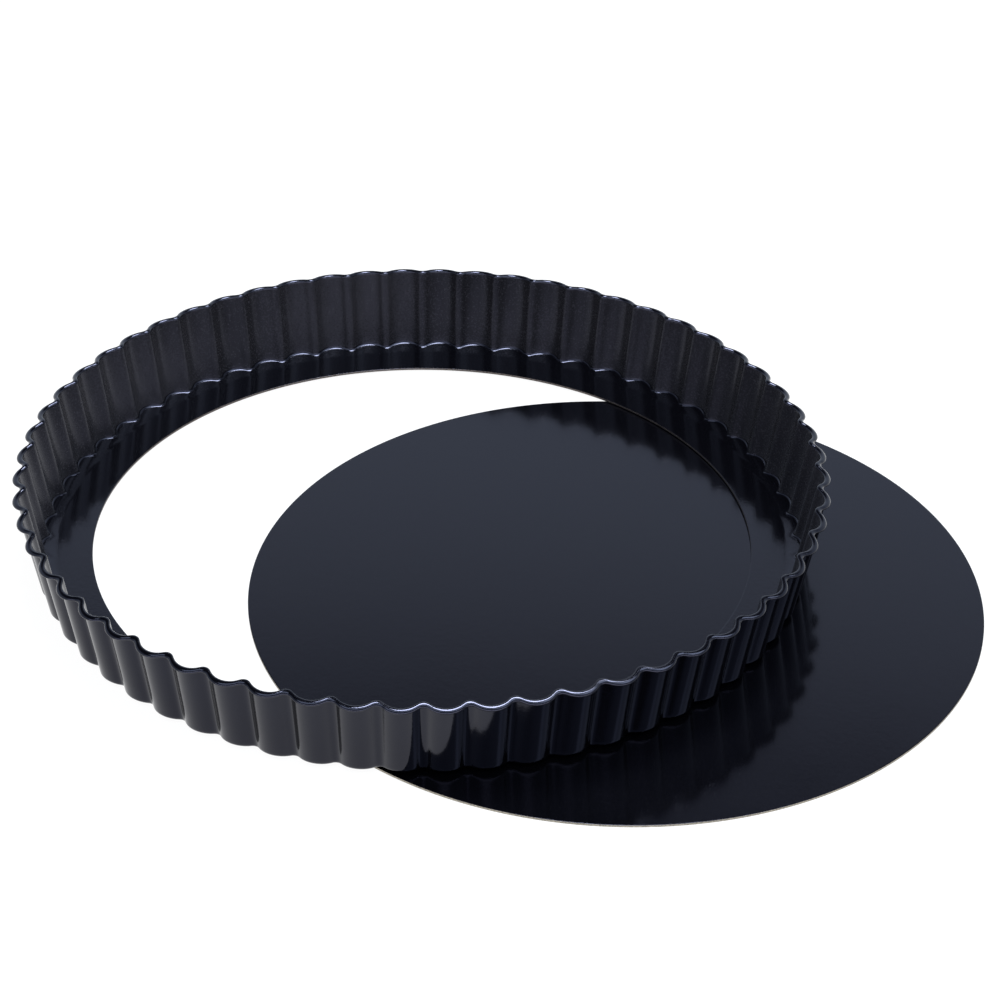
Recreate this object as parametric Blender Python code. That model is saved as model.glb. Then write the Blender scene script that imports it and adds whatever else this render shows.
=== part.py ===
"""Loose-bottom tart pan: a flared, fluted steel ring with an inward ledge, lying on the flat steel disc
that is its loose base. Metres, +Z up, z = 0 at the underside of the disc."""

import math

import bmesh
import bpy

# Sheet steel
SHEET = 0.0008
GAP = 0.0003

# Fluted ring: the lip's outer edge, the hole, the wall's outer face at its foot, and the height to the lip
RIM_R = 0.1459
HOLE_R = 0.1190
FOOT_R = 0.1388
RING_H = 0.0315

# Flutes: wide round lobes joined by narrower round ridges, which stand a little higher at the rim. The ledge
# is flat as far as the ridges and turns up a little under each lobe.
FLUTES = 60
FLUTE_TURN = math.radians(4.80)
RIM_DEPTH = 0.0028
FOOT_DEPTH = 0.0025
LOBE_SHARE = 0.68
RIDGE_RISE = 0.0007
FLAT_R = 0.1312
LOBE_LIFT = 0.0012
STEPS_PER_FLUTE = 6

# Bend at the wall's foot and curled lip, both at the middle of the sheet
BEND_R = 0.0011
LIP_R = 0.0005
LIP_TURN = math.radians(150.0)

# Loose base
BASE_R = 0.1299
BASE_SIDES = 180

# Where the two pieces lie: the base's centre seen from the ring's, and the ring's own centre, which puts
# the middle of both pieces on the origin
BASE_FROM_RING = (0.0692, -0.0319)
RING_X = (RIM_R - BASE_FROM_RING[0] - BASE_R) / 2.0
RING_Y = (BASE_R - BASE_FROM_RING[1] - RIM_R) / 2.0

SHARP_ANGLE = math.radians(40.0)


def clear_scene():
    for obj in list(bpy.data.objects):
        bpy.data.objects.remove(obj)


def nonstick(name, colour, roughness):
    """Dark non-stick coating on steel sheet."""
    material = bpy.data.materials.new(name)
    material.use_nodes = True
    shader = material.node_tree.nodes["Principled BSDF"]
    shader.inputs["Base Color"].default_value = (*colour, 1.0)
    shader.inputs["Roughness"].default_value = roughness
    shader.inputs["Metallic"].default_value = 0.0
    return material


def add_object(name, bm, material, location):
    mesh = bpy.data.meshes.new(name)
    bm.to_mesh(mesh)
    bm.free()
    mesh.shade_smooth()
    mesh.set_sharp_from_angle(angle=SHARP_ANGLE)
    mesh.materials.append(material)
    obj = bpy.data.objects.new(name, mesh)
    obj.location = location
    bpy.context.scene.collection.objects.link(obj)
    return obj


def flute_wave(angle):
    """0 in the middle of a lobe, 1 on the middle of the ridge between two lobes, in two round arcs."""
    pitch = 2.0 * math.pi * RIM_R / FLUTES
    turns = FLUTES * (angle - FLUTE_TURN) / (2.0 * math.pi)
    along = abs(turns - round(turns)) * pitch
    lean = 2.0 * math.atan(2.0 * RIM_DEPTH / pitch)
    lobe_r = LOBE_SHARE * pitch / (2.0 * math.sin(lean))
    ridge_r = (1.0 - LOBE_SHARE) * pitch / (2.0 * math.sin(lean))
    if along <= LOBE_SHARE * pitch / 2.0:
        return (lobe_r - math.sqrt(lobe_r**2 - along**2)) / RIM_DEPTH
    across = pitch / 2.0 - along
    return 1.0 - (ridge_r - math.sqrt(ridge_r**2 - across**2)) / RIM_DEPTH


def sheet_line(wave):
    """The middle of the sheet from the hole's edge to the lip, as (radius, height, direction of travel)."""
    middle = SHEET / 2.0
    lift = LOBE_LIFT * (1.0 - wave)
    foot_r = FOOT_R - FOOT_DEPTH * wave - middle
    foot_z = middle + lift + BEND_R
    lip_r = RIM_R - RIM_DEPTH * wave - middle - 2.0 * LIP_R
    lip_z = RING_H + RIDGE_RISE * wave - middle - LIP_R
    slope = math.atan2(lip_z - foot_z, lip_r - foot_r)
    ramp = math.atan2(lift, foot_r - BEND_R - FLAT_R)
    line = [(HOLE_R, middle, 0.0), (FLAT_R, middle, ramp / 2.0)]
    centre_r = foot_r - BEND_R * math.sin(slope)
    centre_z = foot_z + BEND_R * math.cos(slope)
    line += [
        (centre_r + BEND_R * math.sin(turn), centre_z - BEND_R * math.cos(turn), turn)
        for turn in (ramp, slope)
    ]
    curl_r = lip_r + LIP_R * math.sin(slope)
    curl_z = lip_z - LIP_R * math.cos(slope)
    line += [
        (curl_r - LIP_R * math.sin(turn), curl_z + LIP_R * math.cos(turn), turn)
        for turn in (slope, slope - LIP_TURN / 2.0, slope - LIP_TURN)
    ]
    return line


def sheet_section(wave):
    """The closed outline of the sheet: out along its under and outer side, back along its inner side."""
    half = SHEET / 2.0
    outer = []
    inner = []
    for radius, height, turn in sheet_line(wave):
        side_r = half * math.sin(turn)
        side_z = half * math.cos(turn)
        outer.append((radius + side_r, height - side_z))
        inner.append((radius - side_r, height + side_z))
    return outer + inner[::-1]


def build_ring():
    bm = bmesh.new()
    steps = FLUTES * STEPS_PER_FLUTE
    loops = []
    for step in range(steps):
        angle = FLUTE_TURN + 2.0 * math.pi * step / steps
        loops.append(
            [
                bm.verts.new((radius * math.cos(angle), radius * math.sin(angle), height))
                for radius, height in sheet_section(flute_wave(angle))
            ]
        )
    for here, after in zip(loops, loops[1:] + loops[:1]):
        for i in range(len(here)):
            j = (i + 1) % len(here)
            bm.faces.new((here[i], after[i], after[j], here[j]))
    bmesh.ops.recalc_face_normals(bm, faces=bm.faces[:])
    coating = nonstick("ring_coating", (0.030, 0.031, 0.040), 0.34)
    return add_object("fluted_ring", bm, coating, (RING_X, RING_Y, SHEET + GAP))


def build_base():
    bm = bmesh.new()
    bmesh.ops.create_cone(
        bm, cap_ends=True, segments=BASE_SIDES, radius1=BASE_R, radius2=BASE_R, depth=SHEET
    )
    coating = nonstick("base_coating", (0.034, 0.035, 0.044), 0.30)
    at = (RING_X + BASE_FROM_RING[0], RING_Y + BASE_FROM_RING[1], SHEET / 2.0)
    return add_object("loose_base", bm, coating, at)


clear_scene()
build_ring()
build_base()
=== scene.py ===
import math

import bmesh
import bpy
from mathutils import Matrix, Vector


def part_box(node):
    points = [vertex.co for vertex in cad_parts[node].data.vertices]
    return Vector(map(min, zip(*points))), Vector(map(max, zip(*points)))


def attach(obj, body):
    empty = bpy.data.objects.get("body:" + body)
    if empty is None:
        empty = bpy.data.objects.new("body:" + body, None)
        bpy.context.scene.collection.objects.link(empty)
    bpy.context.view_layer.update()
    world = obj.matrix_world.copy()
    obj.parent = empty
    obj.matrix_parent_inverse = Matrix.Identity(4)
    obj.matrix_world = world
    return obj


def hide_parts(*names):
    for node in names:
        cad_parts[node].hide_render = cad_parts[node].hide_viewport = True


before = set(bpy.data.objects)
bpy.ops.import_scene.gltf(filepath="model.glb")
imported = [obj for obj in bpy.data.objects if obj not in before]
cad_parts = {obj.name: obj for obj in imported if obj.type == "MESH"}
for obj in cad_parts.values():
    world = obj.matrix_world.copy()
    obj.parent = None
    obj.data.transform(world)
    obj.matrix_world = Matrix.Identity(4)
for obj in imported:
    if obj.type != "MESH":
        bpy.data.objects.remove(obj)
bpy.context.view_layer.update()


# The loose base: a flat disc blanked from steel sheet that was coated on both sides before it was cut, so
# its faces are dark and glossy and its cut edge is a thin line of bare metal. It lies loose, under the ring
# here and on the ring's ledge in use, and lifts out with the tart on it.
base_low, base_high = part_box("loose_base")
base_middle = (base_low + base_high) / 2.0
base_radius = (base_high.x - base_low.x) / 2.0
sheet = base_high.z - base_low.z
edge_roll = 0.10 * sheet
base_sides = 720
face_shares = (0.02, 0.3, 0.6, 0.9, 0.985, 0.997)
roll_turns = [math.radians(turn) for turn in (90.0, 60.0, 30.0, 0.0)]
cut_step = len(face_shares) + len(roll_turns) - 1

# The places of a piece's finishes in its list of materials: the coated film, the cut edge, and the inner
# wall's satin film, whose lighter colour is painted sheen
COATED, CUT, SATIN_PAINTED_SHEEN = 0, 1, 2

# The coating's shade clouds, grain and orange peel, as noise scales, and what each does
cloud_scale = 18.0
grain_scale = 1500.0
peel_scale = 520.0
cloud_tint = 0.7
fleck_tint = 0.5
gloss_spread = 0.10
peel_share = 0.6
film_dark = (0.0003, 0.0003, 0.0005)
film_tint = (0.48, 0.50, 0.70, 1.0)

# The tear marks on a cut edge
mark_scale = 1800.0
mark_relief = 0.00003


class Field:
    """A value that varies over a surface: one output socket. Arithmetic on it adds Math nodes."""

    def __init__(self, tree, socket=None):
        self.tree = tree
        self.socket = socket

    def node(self, kind, settings=None, sockets=None, out=0):
        """Adds any other node: settings come first, then sockets, and out picks its output."""
        made = self.tree.nodes.new(kind)
        for name, value in (settings or {}).items():
            if name == "stops":
                for element, (place, shade) in zip(stops_of(made, len(value)), value):
                    element.position = place
                    colour = (shade,) * 3 if isinstance(shade, float) else shade
                    element.color = (*colour, 1.0)
            else:
                setattr(made, name, value)
        for name, value in (sockets or {}).items():
            if isinstance(value, Field):
                self.tree.links.new(value.socket, made.inputs[name])
            else:
                made.inputs[name].default_value = value
        return Field(self.tree, made.outputs[out])

    def math(self, operation, first, second):
        return self.node("ShaderNodeMath", {"operation": operation}, {0: first, 1: second})

    def __add__(self, other):
        return self.math("ADD", self, other)

    def __sub__(self, other):
        return self.math("SUBTRACT", self, other)

    def __rsub__(self, other):
        return self.math("SUBTRACT", other, self)

    def __mul__(self, other):
        return self.math("MULTIPLY", self, other)

    __radd__ = __add__
    __rmul__ = __mul__


def stops_of(ramp, count):
    """The colour stops of a ramp node, as many as are asked for."""
    elements = ramp.color_ramp.elements
    while len(elements) < count:
        elements.new(0.5)
    return elements


def new_finish(name, **constants):
    """A material with its fixed shader values, and the Field that its nodes grow from."""
    material = bpy.data.materials.new(name)
    material.use_nodes = True
    shader = material.node_tree.nodes["Principled BSDF"]
    for socket, value in constants.items():
        shader.inputs[socket.replace("_", " ")].default_value = value
    return material, shader, Field(material.node_tree)


def drive(shader, name, field):
    """Lets a Field set one of the shader's values."""
    field.tree.links.new(field.socket, shader.inputs[name])


def nonstick_coating(name, dark, light, roughness, relief, gloss=0.5):
    """Baked non-stick coating: a nearly black film with a fine orange peel, tiny pale flecks and slow
    changes of shade where the spray lies thicker."""
    material, shader, start = new_finish(
        name, IOR=1.50, Specular_IOR_Level=gloss, Specular_Tint=film_tint
    )
    place = start.node("ShaderNodeTexCoord", out=3)

    def noise(scale, detail, sharpness=0.5):
        return place.node(
            "ShaderNodeTexNoise",
            {},
            {"Vector": place, "Scale": scale, "Detail": detail, "Roughness": sharpness},
        )

    cloud = noise(cloud_scale, 3.0)
    grain = noise(grain_scale, 2.0, 0.6)
    peel = noise(peel_scale, 2.0)
    flecks = grain.node("ShaderNodeValToRGB", {"stops": [(0.55, 0.0), (0.68, 1.0)]}, {"Fac": grain})
    shade = cloud * cloud_tint + flecks * fleck_tint
    colour = shade.node(
        "ShaderNodeMix",
        {"data_type": "RGBA"},
        {"Factor": shade, "A": (*dark, 1.0), "B": (*light, 1.0)},
        out=2,
    )
    drive(shader, "Base Color", colour)
    uneven = (cloud - 0.5) * gloss_spread
    speckled = (grain - 0.5) * gloss_spread
    drive(shader, "Roughness", roughness + uneven + speckled)
    height = peel * peel_share + grain * (1.0 - peel_share)
    bump = height.node(
        "ShaderNodeBump", {}, {"Height": height, "Strength": 0.40, "Distance": relief}
    )
    drive(shader, "Normal", bump)
    return material


def cut_steel(name, dark, light):
    """Bare steel where the sheet was cut: dull, with fine tear marks across the edge."""
    material, shader, start = new_finish(name, Metallic=1.0)
    place = start.node("ShaderNodeTexCoord", out=3)
    marks = place.node(
        "ShaderNodeTexNoise",
        {},
        {"Vector": place, "Scale": mark_scale, "Detail": 3.0, "Roughness": 0.6},
    )
    tone = marks.node(
        "ShaderNodeValToRGB",
        {"stops": [(0.30, dark), (0.70, light)]},
        {"Fac": marks},
    )
    drive(shader, "Base Color", tone)
    drive(shader, "Roughness", 0.32 + marks * 0.25)
    bump = marks.node(
        "ShaderNodeBump", {}, {"Height": marks, "Strength": 0.4, "Distance": mark_relief}
    )
    drive(shader, "Normal", bump)
    return material


def add_piece(name, bm, materials, body, node):
    """Puts a finished mesh in the scene in place of the plain solid of the same piece."""
    bmesh.ops.recalc_face_normals(bm, faces=bm.faces[:])
    mesh = bpy.data.meshes.new(name)
    bm.to_mesh(mesh)
    bm.free()
    for material in materials:
        mesh.materials.append(material)
    mesh.shade_smooth()
    mesh.set_sharp_from_angle(angle=math.radians(50.0))
    piece = bpy.data.objects.new(name, mesh)
    bpy.context.scene.collection.objects.link(piece)
    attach(piece, body)
    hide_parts(node)


def turned(bm, outline, count, middle, closed, cut, satin_painted_sheen=range(0)):
    """Turns an outline round the vertical axis at middle. outline(angle) gives (radius, height) points; cut
    and satin_painted_sheen are the ranges of outline steps whose faces have the cut finish and the satin
    film whose lighter colour is painted sheen."""
    loops = []
    for step in range(count):
        angle = 2.0 * math.pi * step / count
        across, along = math.cos(angle), math.sin(angle)
        loops.append(
            [
                bm.verts.new((middle.x + radius * across, middle.y + radius * along, height))
                for radius, height in outline(angle)
            ]
        )
    points = len(loops[0])
    for here, after in zip(loops, loops[1:] + loops[:1]):
        for i in range(points if closed else points - 1):
            j = (i + 1) % points
            face = bm.faces.new((here[i], after[i], after[j], here[j]))
            face.material_index = CUT if i in cut else SATIN_PAINTED_SHEEN if i in satin_painted_sheen else COATED
    return loops


def base_outline(angle):
    """Half of the disc's section, the same at every angle: from near the middle of its top, over the cut
    edge, and back below."""
    top = [(base_radius * share, base_high.z) for share in face_shares]
    roll = [
        (
            base_radius - edge_roll + edge_roll * math.cos(turn),
            base_high.z - edge_roll + edge_roll * math.sin(turn),
        )
        for turn in roll_turns
    ]
    burr = [(base_radius, base_low.z)]
    below = [(radius, base_low.z) for radius, _ in reversed(top)]
    return top + roll + burr + below


bm = bmesh.new()
base_loops = turned(
    bm, base_outline, base_sides, base_middle, closed=False, cut=range(cut_step, cut_step + 1)
)
bm.faces.new([loop[0] for loop in base_loops])
bm.faces.new([loop[-1] for loop in base_loops])
base_coating = nonstick_coating(
    "base_coating", dark=film_dark, light=(0.0012, 0.0012, 0.0018), roughness=0.12, relief=0.00003
)
base_edge = cut_steel("base_edge", dark=(0.16, 0.15, 0.13), light=(0.42, 0.38, 0.31))
add_piece("base_disc", bm, [base_coating, base_edge], "base", "loose_base")


# The fluted ring: one coated sheet drawn into a flared, fluted wall with a flat ledge turned in at its foot,
# where the base sits. The hole is cut out of the ledge, and the wavy top edge is rolled out into a small
# blunt lip.
ring_low, ring_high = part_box("fluted_ring")
base_from_ring = Vector((0.0692, -0.0319, 0.0))
ring_centre = base_middle - base_from_ring
flutes = 60
flute_turn = math.radians(4.80)
rim_radius = 0.1459
rim_depth = 0.0028
rim_share = 0.75
ridge_rise = 0.0007
foot_radius = 0.1388
foot_depth = 0.0027
foot_share = 0.78
hole_radius = 0.1190
hole_roll = 0.00006
flat_radius = 0.1312
lobe_lift = 0.0004
ramp_ease = 0.30
bend_radius = 0.0016
brow_radius = 0.00045
brow_turn = math.radians(66.0)
lip_radius = 0.0012
lip_turn = math.radians(75.0)
lip_reach = 0.0019
ring_height = ring_high.z - ring_low.z - ridge_rise

# How finely the sheet is drawn: round the ring, and along its section from the hole to the lip
steps_per_flute = 24
hole_points = 4
corner_ease = 0.3
ledge_insets = (hole_roll, 0.0004, 0.0040)
ease_steps = 6
ramp_shares = (0.6, 0.9)
bend_steps = 8
wall_shares = (0.03, 0.2, 0.4, 0.6, 0.8, 0.97, 1.0)
curl_steps = 5
nose_turns = [math.radians(turn) for turn in (36.0, 72.0, 108.0, 144.0)]


def flute_wave(angle, share):
    """0 in the middle of a lobe, 1 on the middle of the ridge between two lobes, in two round arcs. The
    share is how much of the pitch the lobe takes."""
    pitch = 2.0 * math.pi * rim_radius / flutes
    turns = flutes * (angle - flute_turn) / (2.0 * math.pi)
    along = abs(turns - round(turns)) * pitch
    lean = 2.0 * math.atan(2.0 * rim_depth / pitch)
    lobe_r = share * pitch / (2.0 * math.sin(lean))
    ridge_r = (1.0 - share) * pitch / (2.0 * math.sin(lean))
    if along <= share * pitch / 2.0:
        return (lobe_r - math.sqrt(lobe_r**2 - along**2)) / rim_depth
    across = pitch / 2.0 - along
    return 1.0 - (ridge_r - math.sqrt(ridge_r**2 - across**2)) / rim_depth


def sheet_line(angle):
    """The middle of the sheet from the hole's edge to the lip, as (radius, height, direction of travel)."""
    middle = sheet / 2.0
    foot_wave = flute_wave(angle, foot_share)
    rim_wave = flute_wave(angle, rim_share)
    lift = lobe_lift * (1.0 - foot_wave)
    foot_r = foot_radius - foot_depth * foot_wave - middle
    foot_z = middle + lift + bend_radius
    lip_r = rim_radius - rim_depth * rim_wave - middle - lip_reach
    lip_z = ring_height + ridge_rise * rim_wave - middle - brow_radius
    slope = math.atan2(lip_z - foot_z, lip_r - foot_r)
    bend_r = foot_r - bend_radius * math.sin(slope)
    bend_z = foot_z + bend_radius * math.cos(slope)
    rise = bend_z - bend_radius - middle
    run = bend_r - flat_radius
    steepness = rise / run / (1.0 - ramp_ease / 2.0)
    ramp = math.atan(steepness)
    line = [(hole_radius + inset, middle, 0.0) for inset in ledge_insets]
    for step in range(ease_steps + 1):
        share = ramp_ease * step / ease_steps
        height = middle + steepness * run * share**2 / (2.0 * ramp_ease)
        line.append((flat_radius + run * share, height, math.atan(steepness * share / ramp_ease)))
    for share in ramp_shares:
        height = middle + steepness * run * (share - ramp_ease / 2.0)
        line.append((flat_radius + run * share, height, ramp))
    for step in range(bend_steps + 1):
        turn = ramp + (slope - ramp) * step / bend_steps
        line.append(
            (bend_r + bend_radius * math.sin(turn), bend_z - bend_radius * math.cos(turn), turn)
        )
    start_r, start_z, _ = line[-1]
    for share in wall_shares:
        line.append(
            (start_r + (lip_r - start_r) * share, start_z + (lip_z - start_z) * share, slope)
        )
    brow_end = slope - brow_turn
    curl_r, curl_z = lip_r, lip_z
    curls = ((slope, brow_turn, brow_radius), (brow_end, lip_turn, lip_radius))
    for start, sweep, radius in curls:
        middle_r = curl_r + radius * math.sin(start)
        middle_z = curl_z - radius * math.cos(start)
        for step in range(1, curl_steps + 1):
            turn = start - sweep * step / curl_steps
            curl_r = middle_r - radius * math.sin(turn)
            curl_z = middle_z + radius * math.cos(turn)
            line.append((curl_r, curl_z, turn))
    return line


def ring_outline(angle):
    """The closed outline of the sheet: out along its under and outer side, round the lip's cut edge, back
    along its inner side, and round the corners of the hole's cut edge."""
    half = sheet / 2.0
    line = sheet_line(angle)
    outer = [(r + half * math.sin(t), z - half * math.cos(t)) for r, z, t in line]
    inner = [(r - half * math.sin(t), z + half * math.cos(t)) for r, z, t in line]
    end_r, end_z, end_turn = line[-1]
    nose = [
        (end_r + half * math.sin(end_turn + turn), end_z - half * math.cos(end_turn + turn))
        for turn in nose_turns
    ]
    top_z, low_z = inner[0][1], outer[0][1]
    eased = hole_roll * corner_ease
    hole = [
        (hole_radius + eased, top_z - eased),
        (hole_radius, top_z - hole_roll),
        (hole_radius, low_z + hole_roll),
        (hole_radius + eased, low_z + eased),
    ]
    return [(r, ring_low.z + z) for r, z in outer + nose + inner[::-1] + hole]


bm = bmesh.new()
ring_points = len(ring_outline(0.0))
inside_starts = len(sheet_line(0.0)) + len(nose_turns) + 2 * curl_steps
turned(
    bm,
    ring_outline,
    flutes * steps_per_flute,
    ring_centre,
    closed=True,
    cut=range(ring_points - hole_points, ring_points - 1),
    satin_painted_sheen=range(inside_starts, inside_starts + len(wall_shares)),
)
ring_coating = nonstick_coating(
    "ring_coating", dark=film_dark, light=(0.0010, 0.0010, 0.0016), roughness=0.12, relief=0.00006
)
# The inner wall's film: rougher and less glossy than the rest of the coating. Its colour is many times
# lighter, and that is painted sheen standing in for the soft front light the wall catches.
inside_coating_painted_sheen = nonstick_coating(
    "inside_coating_painted_sheen",
    dark=(0.0004, 0.0004, 0.0006),
    light=(0.0165, 0.0158, 0.0185),
    roughness=0.27,
    relief=0.00016,
    gloss=0.30,
)
hole_edge = cut_steel("hole_edge", dark=(0.050, 0.043, 0.040), light=(0.15, 0.13, 0.12))
ring_finishes = [ring_coating, hole_edge, inside_coating_painted_sheen]
add_piece("ring_pressing", bm, ring_finishes, "ring", "fluted_ring")


# The studio: a white table that glows, a pale backdrop that darkens above the object, a bright key lamp
# over the pan, two soft lamps above its front and its right, and a long low one in front.
table_size = 8.0
backdrop_tilt = 0.05
bpy.ops.mesh.primitive_plane_add(size=table_size, location=(0.0, 0.0, 0.0))
table = bpy.context.active_object
table.name = "table"
table_paint, _, _ = new_finish(
    "table_paint",
    Base_Color=(0.06, 0.06, 0.06, 1.0),
    Roughness=0.9,
    Specular_IOR_Level=0.0,
    Emission_Color=(1.0, 1.0, 1.0, 1.0),
    Emission_Strength=0.96,
)
table.data.materials.append(table_paint)

world = bpy.data.worlds.new("studio")
bpy.context.scene.world = world
world.use_nodes = True
sky = Field(world.node_tree)
direction = sky.node("ShaderNodeTexCoord")
to_the_right = direction.node("ShaderNodeSeparateXYZ", {}, {"Vector": direction}, out=0)
upward = direction.node("ShaderNodeSeparateXYZ", {}, {"Vector": direction}, out=2)
height = upward - to_the_right * backdrop_tilt
glow = height.node(
    "ShaderNodeValToRGB",
    {
        "stops": [
            (0.00, (0.85, 0.92, 1.0)),
            (0.48, (0.64, 0.74, 0.92)),
            (0.523, (0.60, 0.68, 0.85)),
            (0.559, (0.60, 0.68, 0.82)),
            (0.588, (0.48, 0.52, 0.62)),
            (0.609, (0.22, 0.24, 0.30)),
            (0.64, (0.11, 0.12, 0.17)),
            (0.75, (0.04, 0.045, 0.06)),
        ]
    },
    {"Fac": height},
)
background = world.node_tree.nodes["Background"]
world.node_tree.links.new(glow.socket, background.inputs["Color"])
background.inputs["Strength"].default_value = 1.0


def soft_light(name, place, aim, width, depth, radiance, colour):
    """A rectangular lamp at place, turned to face aim. The radiance is how bright its face is."""
    data = bpy.data.lights.new(name, "AREA")
    data.shape = "RECTANGLE"
    data.size = width
    data.size_y = depth
    data.energy = radiance * math.pi * width * depth
    data.color = colour
    light = bpy.data.objects.new(name, data)
    light.location = place
    light.rotation_euler = (Vector(aim) - Vector(place)).to_track_quat("-Z", "Y").to_euler()
    light.visible_camera = False
    bpy.context.scene.collection.objects.link(light)


soft_light("key", (0.10, 0.22, 1.3), (0.0, 0.0, 0.0), 0.45, 0.65, 50.0, (0.88, 0.93, 1.0))
soft_light("overhead", (0.0, -0.62, 1.3), (0.0, -0.1, 0.0), 2.2, 0.70, 4.0, (0.80, 0.90, 1.0))
soft_light("side", (0.95, -0.15, 1.3), (0.0, 0.0, 0.0), 0.8, 0.8, 6.0, (0.80, 0.90, 1.0))
soft_light("front", (0.0, -1.6, 0.30), (0.0, 0.0, 0.02), 6.0, 0.36, 5.5, (0.98, 0.96, 1.0))

# The camera: a long lens looking down at the pan from in front, level but for a slight roll. Its aim is a
# point on the base, to the right of the ring's centre and beyond it.
elevation = math.radians(33.25)
roll = math.radians(0.95)
distance = 1.151
aim_from_ring = Vector((0.0278, 0.0266, 0.0))
aim_height = 0.0008
target = ring_centre + aim_from_ring
target.z = aim_height
back = Vector((0.0, -math.cos(elevation), math.sin(elevation)))
level = Vector((1.0, 0.0, 0.0))
upright = back.cross(level)
right = math.cos(roll) * level + math.sin(roll) * upright
up = math.cos(roll) * upright - math.sin(roll) * level
camera_data = bpy.data.cameras.new("camera")
camera_data.lens = 111.9
camera_data.sensor_width = 36.0
camera = bpy.data.objects.new("camera", camera_data)
place = target + back * distance
camera.matrix_world = Matrix(
    (
        (right.x, up.x, back.x, place.x),
        (right.y, up.y, back.y, place.y),
        (right.z, up.z, back.z, place.z),
        (0.0, 0.0, 0.0, 1.0),
    )
)
bpy.context.scene.collection.objects.link(camera)
bpy.context.scene.camera = camera
bpy.context.scene.view_settings.view_transform = "Standard"
